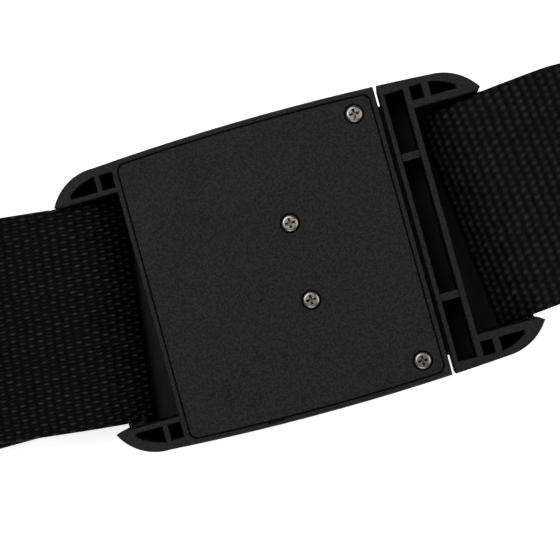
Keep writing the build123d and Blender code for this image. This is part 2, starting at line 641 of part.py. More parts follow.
with BuildPart() as tongue:
    tips = (TONGUE_ROOT_X, TONGUE_MID[0], TONGUE_TIP[0], TONGUE_MID[1], TONGUE_TIP[1])
    with BuildSketch(level(0)):
        body_plan(MOUTH_GAP, *tips)
    extrude(amount=EAR_PLATE)
    with BuildSketch(level(EAR_PLATE)):
        body_plan(MOUTH_GAP, *tips, TONGUE_END_X)
    extrude(amount=DEPTH - EAR_PLATE)
    fillet(tongue.faces().sort_by(Axis.Z)[0].outer_wire().edges(), FRONT_FILLET)
    fillet(tongue.faces().sort_by(Axis.Z)[-1].outer_wire().edges(), REAR_FILLET)
    # three long hollow pockets, and the two lower ribs between them
    pocket_x = (POCKET_LEFT + POCKET_RIGHT) / 2
    pocket_w = POCKET_RIGHT - POCKET_LEFT
    outer_y = sum(OUTER_POCKET) / 2
    with BuildSketch(level(FRONT_SKIN)):
        with Locations((pocket_x, 0)):
            Rectangle(pocket_w, 2 * MID_POCKET_HALF)
        with Locations((pocket_x, outer_y), (pocket_x, -outer_y)):
            Rectangle(pocket_w, OUTER_POCKET[1] - OUTER_POCKET[0])
    extrude(amount=DEPTH, mode=Mode.SUBTRACT)
    with BuildSketch(level(DEPTH - RIB_DROP)):
        with Locations((pocket_x, 0)):
            Rectangle(pocket_w, 2 * OUTER_POCKET[0] + 1)
    extrude(amount=1, mode=Mode.SUBTRACT)
    ear_pockets(TONGUE_END_X + POCKET_SET_BACK, *TONGUE_POCKET_X, TONGUE_POCKET)
    chamfer(tongue.faces().sort_by(Axis.Z)[-1].inner_wires().edges(), POCKET_CHAMFER)
    bar(TONGUE_BAR_X)
    # shoulder that fills the housing's mouth
    shoulder_x = (MOUTH_GAP + 0.2 - SHOULDER_DEPTH) / 2
    with BuildSketch(level(SHOULDER_Z[0])):
        with Locations((shoulder_x, 0)):
            Rectangle(MOUTH_GAP + 0.2 + SHOULDER_DEPTH, 2 * SHOULDER_HALF)
    extrude(amount=SHOULDER_Z[1] - SHOULDER_Z[0])
    # tongue plate, with the two bent slots that the studs hold
    with BuildSketch(level(TONGUE_PLATE_Z)):
        with Locations((TONGUE_PLATE_END / 2, 0)):
            Rectangle(-TONGUE_PLATE_END, 2 * TONGUE_PLATE_HALF)
        slot_w = 2 * (STUD_R + FIT)
        for y_open in STUD_Y:
            with Locations(((TONGUE_PLATE_END + STUD_X) / 2 - 1, y_open)):
                Rectangle(STUD_X - TONGUE_PLATE_END + 2, slot_w, mode=Mode.SUBTRACT)
            with Locations((STUD_X, y_open + LOCK_TRAVEL / 2)):
                SlotCenterToCenter(LOCK_TRAVEL, slot_w, rotation=90, mode=Mode.SUBTRACT)
    extrude(amount=TONGUE_PLATE_T)
save(tongue, "tongue")


# ---- webbing ------------------------------------------------------------------------------------
# The loop round a bar is slack: it dips from the run into the slot, turns by the slot's wall and goes
# back out between the bar and the front plate. Set-backs are measured from the slot's wall.
WRAP = WEB_CLEAR + WEB_T / 2           # from a bar's face to the middle of the webbing
LAYER_GAP = WEB_T + 0.1
DIP_START = 10.5                       # corner where the run turns down
DIP_R = 19.4
LOOP_BACK = 1.9                        # middle of the loop's end
LOOP_TOP = 6.1
LOOP_BOTTOM = EAR_PLATE + 0.4 + WEB_T / 2
LOOP_TOP_R = 2.0
LOOP_BOTTOM_R = 1.5
RETURN_BACK = 13.8                     # where the lower layer starts to rise
SEWN_RISE = 13.0                       # length over which it rises to the run

with BuildPart() as webbing_left_run:
    with BuildSketch(across(RUN_Y)):
        with BuildLine():
            FilletPolyline(
                (LEFT_TURN_X, RUN_HEIGHT),
                (HOUSING_END_X - DIP_START, RUN_HEIGHT),
                (HOUSING_END_X - LOOP_BACK, LOOP_TOP),
                (HOUSING_END_X - LOOP_BACK, LOOP_BOTTOM),
                (HOUSING_END_X - RETURN_BACK, LOOP_BOTTOM),
                (HOUSING_END_X - RETURN_BACK - SEWN_RISE, RUN_HEIGHT - LAYER_GAP),
                (SEWN_END_X, RUN_HEIGHT - LAYER_GAP),
                radius=[DIP_R, LOOP_TOP_R, LOOP_BOTTOM_R, 6, 8],
            )
        trace(line_width=WEB_T)
    extrude(amount=WEB_W / 2, both=True)
save(webbing_left_run, "webbing_left_run")


def layer(number):
    """Height of a folded layer, counted from the lowest."""
    return LOWEST_LAYER - Z_FRONT + number * LAYER_PITCH


with BuildPart() as webbing_left_turn:
    with BuildSketch(across(STACK_Y)):
        with BuildLine():
            turn_mid = (RUN_HEIGHT + layer(LAYERS - 1)) / 2
            ThreePointArc(
                (LEFT_TURN_X, RUN_HEIGHT),
                (LEFT_TURN_X - LEFT_TURN_R, turn_mid),
                (LEFT_TURN_X, layer(LAYERS - 1)),
            )
        trace(line_width=WEB_T)
    extrude(amount=WEB_W / 2, both=True)
save(webbing_left_turn, "webbing_left_turn")

with BuildPart() as webbing_stack:
    with BuildSketch(across(STACK_Y)):
        with BuildLine():
            for number in range(LAYERS):
                right_end = RIGHT_TURN_X if number == 0 else STACK_RIGHT_X
                Line((LEFT_TURN_X, layer(number)), (right_end, layer(number)))
            for number in range(LAYERS - 1):
                at_left = number % 2 == 0
                x_turn = LEFT_TURN_X if at_left else STACK_RIGHT_X
                bulge = -LAYER_PITCH / 2 if at_left else LAYER_PITCH / 2
                ThreePointArc(
                    (x_turn, layer(number)),
                    (x_turn + bulge, layer(number + 0.5)),
                    (x_turn, layer(number + 1)),
                )
        trace(line_width=WEB_T)
    extrude(amount=WEB_W / 2, both=True)
save(webbing_stack, "webbing_stack")

with BuildPart() as webbing_right_turn:
    with BuildSketch(across(STACK_Y)):
        with BuildLine():
            turn_mid = (RIGHT_RUN_HEIGHT + layer(0)) / 2
            ThreePointArc(
                (RIGHT_TURN_X, RIGHT_RUN_HEIGHT),
                (RIGHT_TURN_X + RIGHT_TURN_R, turn_mid),
                (RIGHT_TURN_X, layer(0)),
            )
        trace(line_width=WEB_T)
    extrude(amount=WEB_W / 2, both=True)
save(webbing_right_turn, "webbing_right_turn")

CENTRE_BAR_T = 2.6
CENTRE_BAR_R = 1.1
ADJUSTER_CREST = ADJUSTER_HEIGHT + CENTRE_BAR_T / 2 + WRAP + LAYER_GAP
ADJUSTER_NEAR = ADJUSTER_BAR / 2 + WRAP
ADJUSTER_FAR = ADJUSTER_BAR / 2 + ADJUSTER_SLOT - 1
RETURN_X = TONGUE_END_X + RETURN_BACK - 1.0

with BuildPart() as webbing_right_run:
    with BuildSketch(across(RUN_Y)):
        with BuildLine():
            FilletPolyline(
                (RIGHT_TURN_X, RIGHT_RUN_HEIGHT),
                (ADJUSTER_X + ADJUSTER_FAR, RIGHT_RUN_HEIGHT),
                (ADJUSTER_X + ADJUSTER_NEAR, ADJUSTER_CREST),
                (ADJUSTER_X - ADJUSTER_NEAR, ADJUSTER_CREST),
                (ADJUSTER_X - ADJUSTER_FAR, RIGHT_RUN_HEIGHT),
                (ADJUSTER_X - 19, RIGHT_RUN_HEIGHT),
                (TONGUE_END_X + DIP_START + 11, RUN_HEIGHT),
                (TONGUE_END_X + DIP_START, RUN_HEIGHT),
                (TONGUE_END_X + LOOP_BACK, LOOP_TOP),
                (TONGUE_END_X + LOOP_BACK, LOOP_BOTTOM),
                (RETURN_X, LOOP_BOTTOM),
                radius=[2.5, 2.0, 2.0, 2.5, 15, 15, DIP_R, LOOP_TOP_R, LOOP_BOTTOM_R],
            )
        trace(line_width=WEB_T)
    extrude(amount=WEB_W / 2, both=True)
save(webbing_right_run, "webbing_right_run")

LOOP_LOW = RIGHT_RUN_HEIGHT - 2 * LAYER_GAP
LOOP_HIGH = RIGHT_RUN_HEIGHT - LAYER_GAP
LOOP_END_X = 34.0

with BuildPart() as webbing_adjuster_loop:
    with BuildSketch(across(RUN_Y)):
        with BuildLine():
            FilletPolyline(
                (RETURN_X, LOOP_BOTTOM),
                (RETURN_X + 5, LOOP_BOTTOM),
                (RETURN_X + 16, LOOP_LOW),
                (ADJUSTER_X - 7.4, LOOP_LOW),
                (ADJUSTER_X - 4.4, ADJUSTER_HEIGHT - CENTRE_BAR_T / 2 - WRAP),
                (ADJUSTER_X + ADJUSTER_NEAR, ADJUSTER_HEIGHT - CENTRE_BAR_T / 2 - WRAP),
                (ADJUSTER_X + ADJUSTER_NEAR, ADJUSTER_CREST - LAYER_GAP),
                (ADJUSTER_X - 2.7, ADJUSTER_CREST - LAYER_GAP),
                (ADJUSTER_X - 8.2, LOOP_HIGH),
                (LOOP_END_X, LOOP_HIGH),
                radius=[20, 20, 1.5, 1.5, 2.2, 2.2, 1.5, 2.0],
            )
        trace(line_width=WEB_T)
    extrude(amount=WEB_W / 2, both=True)
save(webbing_adjuster_loop, "webbing_adjuster_loop")

# ---- strap adjuster -----------------------------------------------------------------------------
adjuster_level = level(ADJUSTER_HEIGHT - ADJUSTER_T / 2).shift_origin(
    (X_MOUTH, RUN_Y, Z_FRONT + ADJUSTER_HEIGHT - ADJUSTER_T / 2)
)
with BuildPart() as strap_adjuster:
    with BuildSketch(adjuster_level):
        with Locations((ADJUSTER_X, 0)):
            RectangleRounded(ADJUSTER_LENGTH, ADJUSTER_WIDTH, 3)
            with GridLocations(ADJUSTER_BAR + ADJUSTER_SLOT, 0, 2, 1):
                Rectangle(ADJUSTER_SLOT, ADJUSTER_SLOT_W, mode=Mode.SUBTRACT)
    extrude(amount=ADJUSTER_T)
    bar_trim = (ADJUSTER_T - CENTRE_BAR_T) / 2
    for offset_z in (0, ADJUSTER_T - bar_trim):
        with BuildSketch(adjuster_level.offset(offset_z)):
            with Locations((ADJUSTER_X, 0)):
                Rectangle(ADJUSTER_BAR + 1, ADJUSTER_SLOT_W)
        extrude(amount=bar_trim, mode=Mode.SUBTRACT)
    centre_bar_edges = [
        e for e in edges().filter_by(Axis.Y)
        if abs(e.center().X - X_MOUTH - ADJUSTER_X) < ADJUSTER_BAR / 2 + 0.1
    ]
    fillet(centre_bar_edges, CENTRE_BAR_R)
save(strap_adjuster, "strap_adjuster")

# ---- elastic keeper round the folded webbing ----------------------------------------------------
BAND_INNER_W = WEB_W + 0.6
BAND_INNER_H = HIGHEST_LAYER + WEB_T / 2 + 0.05 - BAND_T
band_mid_z = BAND_T + BAND_INNER_H / 2
band_plane = Plane(
    origin=(X_MOUTH + BAND_X - BAND_W / 2, STACK_Y, band_mid_z), x_dir=(0, 1, 0), z_dir=(1, 0, 0)
)
with BuildPart() as elastic_keeper:
    with BuildSketch(band_plane):
        RectangleRounded(BAND_INNER_W + 2 * BAND_T, BAND_INNER_H + 2 * BAND_T, 1.2)
        RectangleRounded(BAND_INNER_W, BAND_INNER_H, 0.4, mode=Mode.SUBTRACT)
    extrude(amount=BAND_W)
save(elastic_keeper, "elastic_keeper")
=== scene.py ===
import math

import bmesh
import bpy
import numpy as np
from mathutils import Matrix, Vector


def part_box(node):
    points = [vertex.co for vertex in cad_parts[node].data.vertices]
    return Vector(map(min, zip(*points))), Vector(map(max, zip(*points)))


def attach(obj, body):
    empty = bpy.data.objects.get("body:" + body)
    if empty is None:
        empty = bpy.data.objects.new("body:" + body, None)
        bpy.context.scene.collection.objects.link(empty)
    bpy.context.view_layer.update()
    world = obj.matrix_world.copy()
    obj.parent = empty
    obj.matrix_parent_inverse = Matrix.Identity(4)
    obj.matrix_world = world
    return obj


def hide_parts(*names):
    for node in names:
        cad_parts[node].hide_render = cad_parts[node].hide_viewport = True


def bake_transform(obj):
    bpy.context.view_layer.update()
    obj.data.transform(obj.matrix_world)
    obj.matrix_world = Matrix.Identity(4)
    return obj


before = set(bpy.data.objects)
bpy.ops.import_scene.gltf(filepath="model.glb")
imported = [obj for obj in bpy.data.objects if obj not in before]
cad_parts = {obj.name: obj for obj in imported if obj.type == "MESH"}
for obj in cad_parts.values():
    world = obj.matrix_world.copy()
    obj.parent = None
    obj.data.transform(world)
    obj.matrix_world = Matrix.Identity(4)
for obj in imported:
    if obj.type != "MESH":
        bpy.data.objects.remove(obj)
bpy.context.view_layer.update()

MM = 0.001

# ---- the frame, in the buckle's own millimetres: x from the mouth, height from the front face ------
shell_low, shell_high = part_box("front_shell")
MOUTH_X = shell_high.x
FRONT_Z = shell_low.z
REAR_Z = shell_high.z
ORIGIN = np.array((MOUTH_X, 0.0, FRONT_Z))


def buckle_box(node):
    """Lowest and highest corner of a CAD node in the buckle's millimetres."""
    low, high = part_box(node)
    return (np.array(low) - ORIGIN) / MM, (np.array(high) - ORIGIN) / MM


# ---- camera ----------------------------------------------------------------------------------------
CAMERA_DISTANCE = 0.400
CAMERA_TARGET = Vector((-0.0073, -0.0027, REAR_Z))
CAMERA_LEAN = (math.radians(3.13), math.radians(-1.26))
CAMERA_ROLL = math.radians(-15.48)
CAMERA_LENS = 116.6


def add_camera():
    """Long lens above the buckle's rear face, nearly square to it."""
    lean_x, lean_y = math.sin(CAMERA_LEAN[0]), math.sin(CAMERA_LEAN[1])
    back = Vector((lean_x, lean_y, math.sqrt(1 - lean_x**2 - lean_y**2)))
    right = Vector((0, 1, 0)).cross(back).normalized()
    up = back.cross(right)
    turned_right = math.cos(CAMERA_ROLL) * right + math.sin(CAMERA_ROLL) * up
    turned_up = math.cos(CAMERA_ROLL) * up - math.sin(CAMERA_ROLL) * right
    data = bpy.data.cameras.new("camera")
    data.lens = CAMERA_LENS
    data.clip_start = 0.01
    camera = bpy.data.objects.new("camera", data)
    axes = Matrix((turned_right, turned_up, back)).transposed().to_4x4()
    camera.matrix_world = Matrix.Translation(CAMERA_TARGET + CAMERA_DISTANCE * back) @ axes
    bpy.context.scene.collection.objects.link(camera)
    bpy.context.scene.camera = camera


add_camera()

# ---- materials -------------------------------------------------------------------------------------
HOLLOW_SAMPLES = 6
PLASTIC_HOLLOW = 14             # reach of the painted shade that darkens the plastic's slots and pockets
METAL_HOLLOW = 0.9              # the same painted shade on metal, for the screws' recesses
SCRATCH_WIDTH = 0.25
SCRATCH_STRETCH = (0.15, 1, 1)


class Shader:
    """A node material under construction: a Principled shader and helpers that wire nodes to it."""

    def __init__(self, name, **sockets):
        self.material = bpy.data.materials.new(name)
        self.material.use_nodes = True
        self.tree = self.material.node_tree
        self.main = self.tree.nodes["Principled BSDF"]
        for socket, value in sockets.items():
            self.main.inputs[socket.replace("_", " ")].default_value = value
        self.object_space = self.add("ShaderNodeTexCoord").outputs["Object"]

    def add(self, kind, **inputs):
        node = self.tree.nodes.new(kind)
        for socket, value in inputs.items():
            self.feed(node, socket.replace("_", " "), value)
        return node

    def feed(self, node, socket, value):
        if isinstance(value, bpy.types.NodeSocket):
            self.tree.links.new(value, node.inputs[socket])
        else:
            node.inputs[socket].default_value = value

    def noise(self, size_mm, stretch=(1, 1, 1), detail=2.0):
        """Noise whose grains are about size_mm across, longer where stretch is under 1."""
        mapping = self.add("ShaderNodeMapping", Vector=self.object_space, Scale=stretch)
        scale = 1 / (size_mm * MM)
        texture = self.add("ShaderNodeTexNoise", Vector=mapping.outputs[0], Scale=scale, Detail=detail)
        return texture.outputs["Fac"]

    def ramp(self, factor, *stops):
        """Colour ramp from (position, colour) stops; a number stands for a grey."""
        node = self.add("ShaderNodeValToRGB", Fac=factor)
        elements = node.color_ramp.elements
        while len(elements) < len(stops):
            elements.new(0.5)
        for element, (position, colour) in zip(elements, stops):
            element.position = position
            element.color = (colour,) * 3 + (1,) if isinstance(colour, float) else (*colour, 1)
        return node.outputs["Color"]

    def multiply(self, one, two):
        node = self.add("ShaderNodeVectorMath")
        node.operation = "MULTIPLY"
        self.tree.links.new(one, node.inputs[0])
        self.tree.links.new(two, node.inputs[1])
        return node.outputs["Vector"]

    def bump(self, height, distance_mm, strength=1.0, normal=None):
        node = self.add("ShaderNodeBump", Height=height, Distance=distance_mm * MM, Strength=strength)
        if normal is not None:
            self.feed(node, "Normal", normal)
        return node.outputs["Normal"]

    def hollows(self, reach_mm, dark_stop, light_stop):
        """Painted shade: grey that falls off where surfaces within reach_mm close in."""
        occlusion = self.add("ShaderNodeAmbientOcclusion", Distance=reach_mm * MM)
        occlusion.samples = HOLLOW_SAMPLES
        return self.ramp(occlusion.outputs["AO"], dark_stop, light_stop)

    def rounded_edges(self, radius_mm):
        """Normal that rounds sharp edges, so that they catch the light."""
        return self.add("ShaderNodeBevel", Radius=radius_mm * MM).outputs["Normal"]

    def drive(self, socket, value):
        self.feed(self.main, socket, value)


def moulded_plastic(name, dark, light, grain_mm, roughness):
    """Spark-eroded mould grain, uneven gloss and slightly rounded edges, with painted shade darkening deep
    hollows.
    """
    shader = Shader(name, Specular_IOR_Level=0.13)
    grain = shader.noise(grain_mm, detail=3.0)
    mottle = shader.noise(9.0, detail=4.0)
    speck = shader.noise(grain_mm * 1.4, detail=2.0)
    # painted shade: the base colour darkens in slots and pockets, where shade falls
    painted_hollow_shade = shader.hollows(PLASTIC_HOLLOW, (0.45, 0.03), (0.90, 1.0))
    shader.drive("Base Color", shader.multiply(shader.ramp(speck, (0.38, dark), (0.62, light)), painted_hollow_shade))
    shader.drive("Roughness", shader.ramp(mottle, (0.3, roughness[0]), (0.7, roughness[1])))
    soft = shader.rounded_edges(0.15)
    shader.drive("Normal", shader.bump(grain, 0.05, 0.5, soft))
    return shader.material


def metal(name, colour, roughness):
    """Machined metal with fine scratches and uneven polish, with painted shade darkening its recesses."""
    shader = Shader(name, Metallic=1.0)
    tint = shader.noise(1.2, detail=3.0)
    darker = tuple(0.78 * c for c in colour)
    # painted shade: the base colour darkens in the screws' recesses
    painted_hollow_shade = shader.hollows(METAL_HOLLOW, (0.35, 0.04), (0.85, 1.0))
    shader.drive("Base Color", shader.multiply(shader.ramp(tint, (0.3, darker), (0.7, colour)), painted_hollow_shade))
    scratches = shader.noise(SCRATCH_WIDTH, SCRATCH_STRETCH, detail=4.0)
    shader.drive("Roughness", shader.ramp(scratches, (0.3, roughness[0]), (0.7, roughness[1])))
    shader.drive("Normal", shader.bump(scratches, 0.004, 0.3, shader.rounded_edges(0.10)))
    return shader.material


def webbing_yarn():
    """Black multifilament yarn with fine fibres: painted shade makes it nearly black in the gaps, a painted
    highlight lighter on the crests.
    """
    shader = Shader("webbing_yarn", Specular_IOR_Level=0.035)
    painted_weave_light = shader.add("ShaderNodeAttribute")
    painted_weave_light.attribute_name = "painted_weave_light"
    fibres = shader.noise(0.09, (0.12, 1, 1), detail=3.0)
    dust = shader.noise(1.6, detail=5.0)
    # painted light: the base colour is a painted highlight on the crests and painted shade in the gaps
    lit = shader.ramp(painted_weave_light.outputs["Fac"], (0.2, 0.0003), (0.5, 0.0045), (0.8, 0.0120), (1.0, 0.0240))
    shader.drive("Base Color", shader.multiply(lit, shader.ramp(dust, (0.3, 0.7), (0.7, 1.0))))
    shader.drive("Roughness", shader.ramp(fibres, (0.3, 0.42), (0.7, 0.66)))
    shader.drive("Normal", shader.bump(fibres, 0.05, 0.8))
    return shader.material


def thread():
    """Bonded sewing thread, its plies showing as a fine twist."""
    shader = Shader("sewing_thread", Specular_IOR_Level=0.4)
    plies = shader.noise(0.12, (1, 0.3, 1), detail=2.0)
    shader.drive("Base Color", shader.ramp(plies, (0.3, 0.004), (0.7, 0.013)))
    shader.drive("Roughness", shader.ramp(plies, (0.3, 0.4), (0.7, 0.6)))
    shader.drive("Normal", shader.bump(plies, 0.05, 0.6))
    return shader.material


def elastic():
    """Black elastic: matt covering yarn over the rubber cords."""
    shader = Shader("elastic_band", Specular_IOR_Level=0.25, Sheen_Weight=0.2, Sheen_Roughness=0.5)
    yarn = shader.noise(0.25, (1, 0.25, 0.25), detail=4.0)
    shader.drive("Base Color", shader.ramp(yarn, (0.3, 0.003), (0.7, 0.011)))
    shader.drive("Roughness", shader.ramp(yarn, (0.3, 0.6), (0.7, 0.85)))
    shader.drive("Normal", shader.bump(yarn, 0.06, 0.8))
    return shader.material


def floor_paint():
    """Pale matt floor that glows a little, so that it renders as the photo's white background."""
    shader = Shader(
        "pale_floor",
        Specular_IOR_Level=0.1,
        Emission_Color=(1, 1, 1, 1),
        Emission_Strength=0.6,
    )
    grain = shader.noise(3.0, detail=5.0)
    shader.drive("Base Color", shader.ramp(grain, (0.3, 0.90), (0.7, 0.93)))
    shader.drive("Roughness", shader.ramp(grain, (0.3, 0.8), (0.7, 0.9)))
    return shader.material


HOUSING_PLASTIC = moulded_plastic(
    "housing_plastic", (0.0038, 0.0036, 0.0042), (0.0128, 0.0122, 0.0138), 0.30, (0.50, 0.60)
)
COVER_PLASTIC = moulded_plastic(
    "cover_plastic", (0.0036, 0.0034, 0.0040), (0.0130, 0.0124, 0.0140), 0.34, (0.52, 0.62)
)
WHEEL_PLASTIC = moulded_plastic(
    "wheel_plastic", (0.0060, 0.0058, 0.0064), (0.0140, 0.0135, 0.0148), 0.22, (0.35, 0.45)
)
NICKEL = metal("screw_nickel", (0.27, 0.25, 0.225), (0.24, 0.34))
STEEL = metal("mechanism_steel", (0.56, 0.57, 0.58), (0.25, 0.45))
BRASS = metal("sleeve_brass", (0.80, 0.60, 0.30), (0.22, 0.38))
WEBBING = webbing_yarn()
THREAD = thread()
ELASTIC = elastic()

CAD_FINISHES = {
    "front_shell": HOUSING_PLASTIC,
    "tongue": HOUSING_PLASTIC,
    "strap_adjuster": HOUSING_PLASTIC,
    "lock_slider": WHEEL_PLASTIC,
    "reset_button": WHEEL_PLASTIC,
    "rear_cover": COVER_PLASTIC,
    "cover_corner_screws": NICKEL,
    "cover_centre_screws": NICKEL,
    "detent_spring_screws": NICKEL,
    "slider_screw": NICKEL,
    "detent_spring": STEEL,
    "spindle_spring": STEEL,
    "reset_spindle": STEEL,
    "spindle_clips": STEEL,
    "bolt_plate": STEEL,
    "bolt_studs": STEEL,
}
for number in (1, 2, 3):
    CAD_FINISHES[f"number_wheel_{number}"] = WHEEL_PLASTIC
    CAD_FINISHES[f"wheel_sleeve_{number}"] = BRASS
for node, finish in CAD_FINISHES.items():
    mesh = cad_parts[node].data
    mesh.materials.clear()
    mesh.materials.append(finish)

# ---- woven strips ----------------------------------------------------------------------------------
WEB_W = 50.0
WEB_T = 1.5
YARNS = 62                      # warp yarns across the strap
FLOAT = 2.05                    # length along the strap from one row of crests to the next
RELIEF = 0.50                   # depth from the crests to the gaps
CREST = WEB_T / 2 + 0.08        # height of the crests over the middle of the webbing
SELVEDGE = 0.75                 # width over which the edge rounds off
FLOAT_SPREAD = 0.10             # how much one float's height differs from the next
YARN_SHIFT = 0.05               # how far a yarn's crests lie out of step, as a part of FLOAT
PICKS = 4001                    # floats in a yarn before its differences repeat
GAP = 0.2                       # height, and painted light level, where a float ends, of 1 at the top of a float
TALLEST = 1.15


def ease(t):
    t = np.clip(t, 0, 1)
    return t * t * (3 - 2 * t)


def rounded(points, radii, step):
    """Points at equal steps along straight runs joined by tangent arcs, as (x, height) in mm."""
    points = [np.array(p, float) for p in points]
    path = [points[0]]
    for before, corner, after, radius in zip(points, points[1:], points[2:], radii):
        to = (corner - before) / np.linalg.norm(corner - before)
        away = (after - corner) / np.linalg.norm(after - corner)
        turn = math.acos(np.clip(to @ away, -1, 1))
        inward = (away - to) / np.linalg.norm(away - to)
        centre = corner + inward * radius / math.cos(turn / 2)
        start = corner - to * radius * math.tan(turn / 2) - centre
        side = 1 if to[0] * away[1] - to[1] * away[0] > 0 else -1
        for angle in np.linspace(0, side * turn, 2 + int(math.degrees(turn) / 2)):
            c, s = math.cos(angle), math.sin(angle)
            path.append(centre + np.array((c * start[0] - s * start[1], s * start[0] + c * start[1])))
    path.append(points[-1])
    path = np.array(path)
    length = np.concatenate(([0], np.cumsum(np.linalg.norm(np.diff(path, axis=0), axis=1))))
    places = np.linspace(0, length[-1], 1 + round(length[-1] / step))
    return np.column_stack([np.interp(places, length, path[:, k]) for k in (0, 1)])


def weave(along, across, seed):
    """Height of the woven surface and its painted light (highlight on the crests, shade in the gaps), 0 to
    1: each yarn's floats lie between its neighbours'.
    """
    chance = np.random.RandomState(seed)
    jitter = 1 + FLOAT_SPREAD * chance.standard_normal((YARNS, PICKS))
    shift = YARN_SHIFT * chance.standard_normal(YARNS)
    yarn = across / WEB_W * YARNS
    number = np.clip(np.floor(yarn), 0, YARNS - 1).astype(int)
    roundness = np.sqrt(np.clip(1 - (2 * (yarn - number) - 1) ** 2, 0, 1))
    phase = along[:, None] / FLOAT + (number + shift[number])[None, :]
    pick = np.round(phase / 2).astype(int) % PICKS
    wave = np.cos(math.pi * phase) * jitter[number[None, :], pick]
    wave = wave * roundness[None, :]
    rise = np.clip(np.abs(wave), 0, TALLEST) ** 0.75
    height = np.where(wave > 0, GAP + (1 - GAP) * rise, GAP - GAP * rise)
    # painted light: a painted highlight on the crests, painted shade in the gaps
    painted_light_level = np.clip((np.abs(wave) - 0.25) / 0.75, 0, TALLEST) ** 0.8
    painted_weave_light = np.where(wave > 0, GAP + (1 - GAP) * painted_light_level, GAP + 0.3 * painted_light_level)
    return height, painted_weave_light


def build_strip(name, middle, normal, side, top, low, closed=False, trim=None):
    """Closed thin solid along a line. top and low hold each face's positions across, heights and painted
    light.
    """
    def surface(face, sign):
        across, height, _ = face
        points = middle[:, None, :] + side[:, None, :] * across[None, :, None]
        return points + sign * normal[:, None, :] * height[:, :, None]

    upper = surface(top, 1)
    under = surface(low, -1)[:, -2:0:-1]
    points = np.concatenate((upper, under), axis=1)
    if trim:
        points = trim(points)
    painted_weave_light = np.concatenate((top[2], low[2][:, -2:0:-1]), axis=1)
    rows, ring = points.shape[:2]
    start = np.arange(rows if closed else rows - 1)[:, None] * ring
    there = np.arange(ring)[None, :]
    following = (there + 1) % ring
    ahead = (start + ring) % (rows * ring)
    quads = np.stack((start + there, ahead + there, ahead + following, start + following), axis=-1)
    faces = quads.reshape(-1, 4).tolist()
    if not closed:
        faces.append(list(range(ring)))
        faces.append(list(range(rows * ring - 1, (rows - 1) * ring - 1, -1)))
    mesh = bpy.data.meshes.new(name)
    mesh.from_pydata((points.reshape(-1, 3) * MM + ORIGIN).tolist(), [], faces)
    smooth = np.ones(len(faces), bool)
    if not closed:
        smooth[-2:] = False
    mesh.polygons.foreach_set("use_smooth", smooth)
    # the attribute holds the weave's painted light: painted highlight on crests, painted shade in gaps
    brightness = mesh.attributes.new("painted_weave_light", "FLOAT", "POINT")
    brightness.data.foreach_set("value", painted_weave_light.ravel().astype(np.float32))
    mesh.update()
    piece = bpy.data.objects.new(name, mesh)
    bpy.context.scene.collection.objects.link(piece)
    return piece


def strap(name, line, sway, seed, fine_top=False, trim=None):
    """Length of webbing along a line of (x, height); sway gives its middle's y and its rows' skew angle."""
    steps = np.linalg.norm(np.diff(line, axis=0), axis=1)
    along = np.concatenate(([0], np.cumsum(steps)))
    centre_y, skew = sway(line[:, 0], line[:, 1])
    middle = np.column_stack((line[:, 0], centre_y, line[:, 1]))
    ahead = np.gradient(line, axis=0)
    ahead /= np.linalg.norm(ahead, axis=1)[:, None]
    normal = np.column_stack((-ahead[:, 1], np.zeros(len(line)), ahead[:, 0]))
    side = np.column_stack((np.sin(skew), np.cos(skew), np.zeros(len(line))))

    def face(samples, shift):
        across = np.linspace(0, WEB_W, YARNS * samples + 1)
        if samples == 1:
            across = np.concatenate(([0], (across[1:] + across[:-1]) / 2, [WEB_W]))
        cloth, painted_weave_light = weave(along + shift, across, seed)
        from_edge = np.minimum(across, WEB_W - across)
        edge = np.sqrt(np.clip(1 - (1 - np.minimum(from_edge / SELVEDGE, 1)) ** 2, 0, 1))
        return across - WEB_W / 2, (CREST - RELIEF * (1 - cloth)) * edge[None, :], painted_weave_light

    top = face(4 if fine_top else 2, 0)
    low = face(1 if fine_top else 2, FLOAT)
    piece = build_strip(name, middle, normal, side, top, low, trim=trim)
    piece.data.materials.append(WEBBING)
    return piece, along[-1]


# ---- route of the strap, as the CAD has it ---------------------------------------------------------
stack_low, stack_high = buckle_box("webbing_stack")
left_high = buckle_box("webbing_left_turn")[1]
right_low, right_high = buckle_box("webbing_right_turn")
cover_low = buckle_box("rear_cover")[0]
LAYERS = 7
STACK_PIECES = 4                # the folded length is cut up to keep each piece light
LOWEST_LAYER = stack_low[2] + WEB_T / 2
LAYER_PITCH = (stack_high[2] - stack_low[2] - WEB_T) / (LAYERS - 1)
STACK_Y = (stack_low[1] + stack_high[1]) / 2
RUN_HEIGHT = left_high[2] - WEB_T / 2
RIGHT_RUN_HEIGHT = right_high[2] - WEB_T / 2
LEFT_TURN_X = left_high[0]
RIGHT_TURN_X = right_low[0]
STACK_RIGHT_X = 80.0            # how far right the folds of the stack reach at most
RUN_Y = 0.4                     # middle of the right run
LAYER_GAP = WEB_T + 0.1         # from one layer to the next where two lie together
RIM = 1.4                       # visible rim round the rear cover
HOUSING_WALL = cover_low[0] - RIM
TONGUE_WALL = 7.6
LOOP_TOP = 6.1                  # heights between which a loop turns down and back
LOOP_BOTTOM = 3.35
DIP_R = 19.4                    # bend of the strap on its way down into a slot
RETURN_BACK = 13.8              # from a wall to where the lower layer starts to rise
SEWN_RISE = 13.0                # length over which the returning end rises to the run
SEWN_END_X = -130.0
LEFT_EARS_X = -76.5             # just past the tips of the ears
RIGHT_EARS_X = 23.2
FINE = FLOAT / 4                # step along the fine pieces
COARSE = FLOAT / 2              # step along the pieces that lie under the buckle

